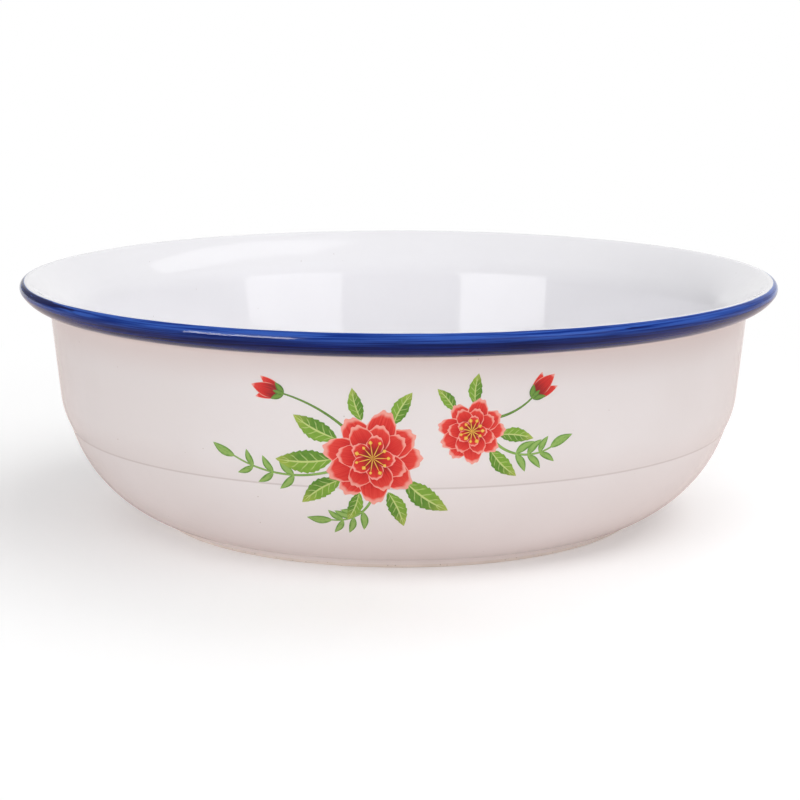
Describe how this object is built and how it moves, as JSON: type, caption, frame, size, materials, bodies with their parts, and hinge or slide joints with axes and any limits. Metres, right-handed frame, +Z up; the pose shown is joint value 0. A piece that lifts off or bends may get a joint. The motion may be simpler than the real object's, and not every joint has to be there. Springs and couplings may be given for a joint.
{
  "type": "ceramic kneading basin",
  "caption": "Round white-glazed ceramic basin with a flared blue-banded lip, an incised line round the wall, a low foot ring and a floral print; holds dough while it is mixed and kneaded.",
  "frame": {"origin": "on the axis of the basin, at the level the foot ring stands on", "axes": "+Z up along the axis; the print faces -Y, with +X to its right"},
  "size_m": [0.3, 0.3, 0.0956],
  "materials": {
    "bare_clay": "dry fired clay, fine grit",
    "inside_glaze": "glossy cool white glaze",
    "outside_glaze": "glossy warm white glaze",
    "blue_glaze": "glossy cobalt blue glaze",
    "red_print": "fired-on print, satin",
    "yellow_print": "fired-on print, satin",
    "green_print": "fired-on print, satin"
  },
  "bodies": {
    "root": {"clay_body": "bare_clay", "inside_glaze": "inside_glaze", "outside_glaze": "outside_glaze", "base_glaze": "outside_glaze", "rim_band": "blue_glaze", "blossom_print": "red_print", "stamen_print": "yellow_print", "bud_print": "red_print", "leaf_print": "green_print", "sprig_print": "green_print", "stem_print": "green_print"}
  },
  "joints": []
}
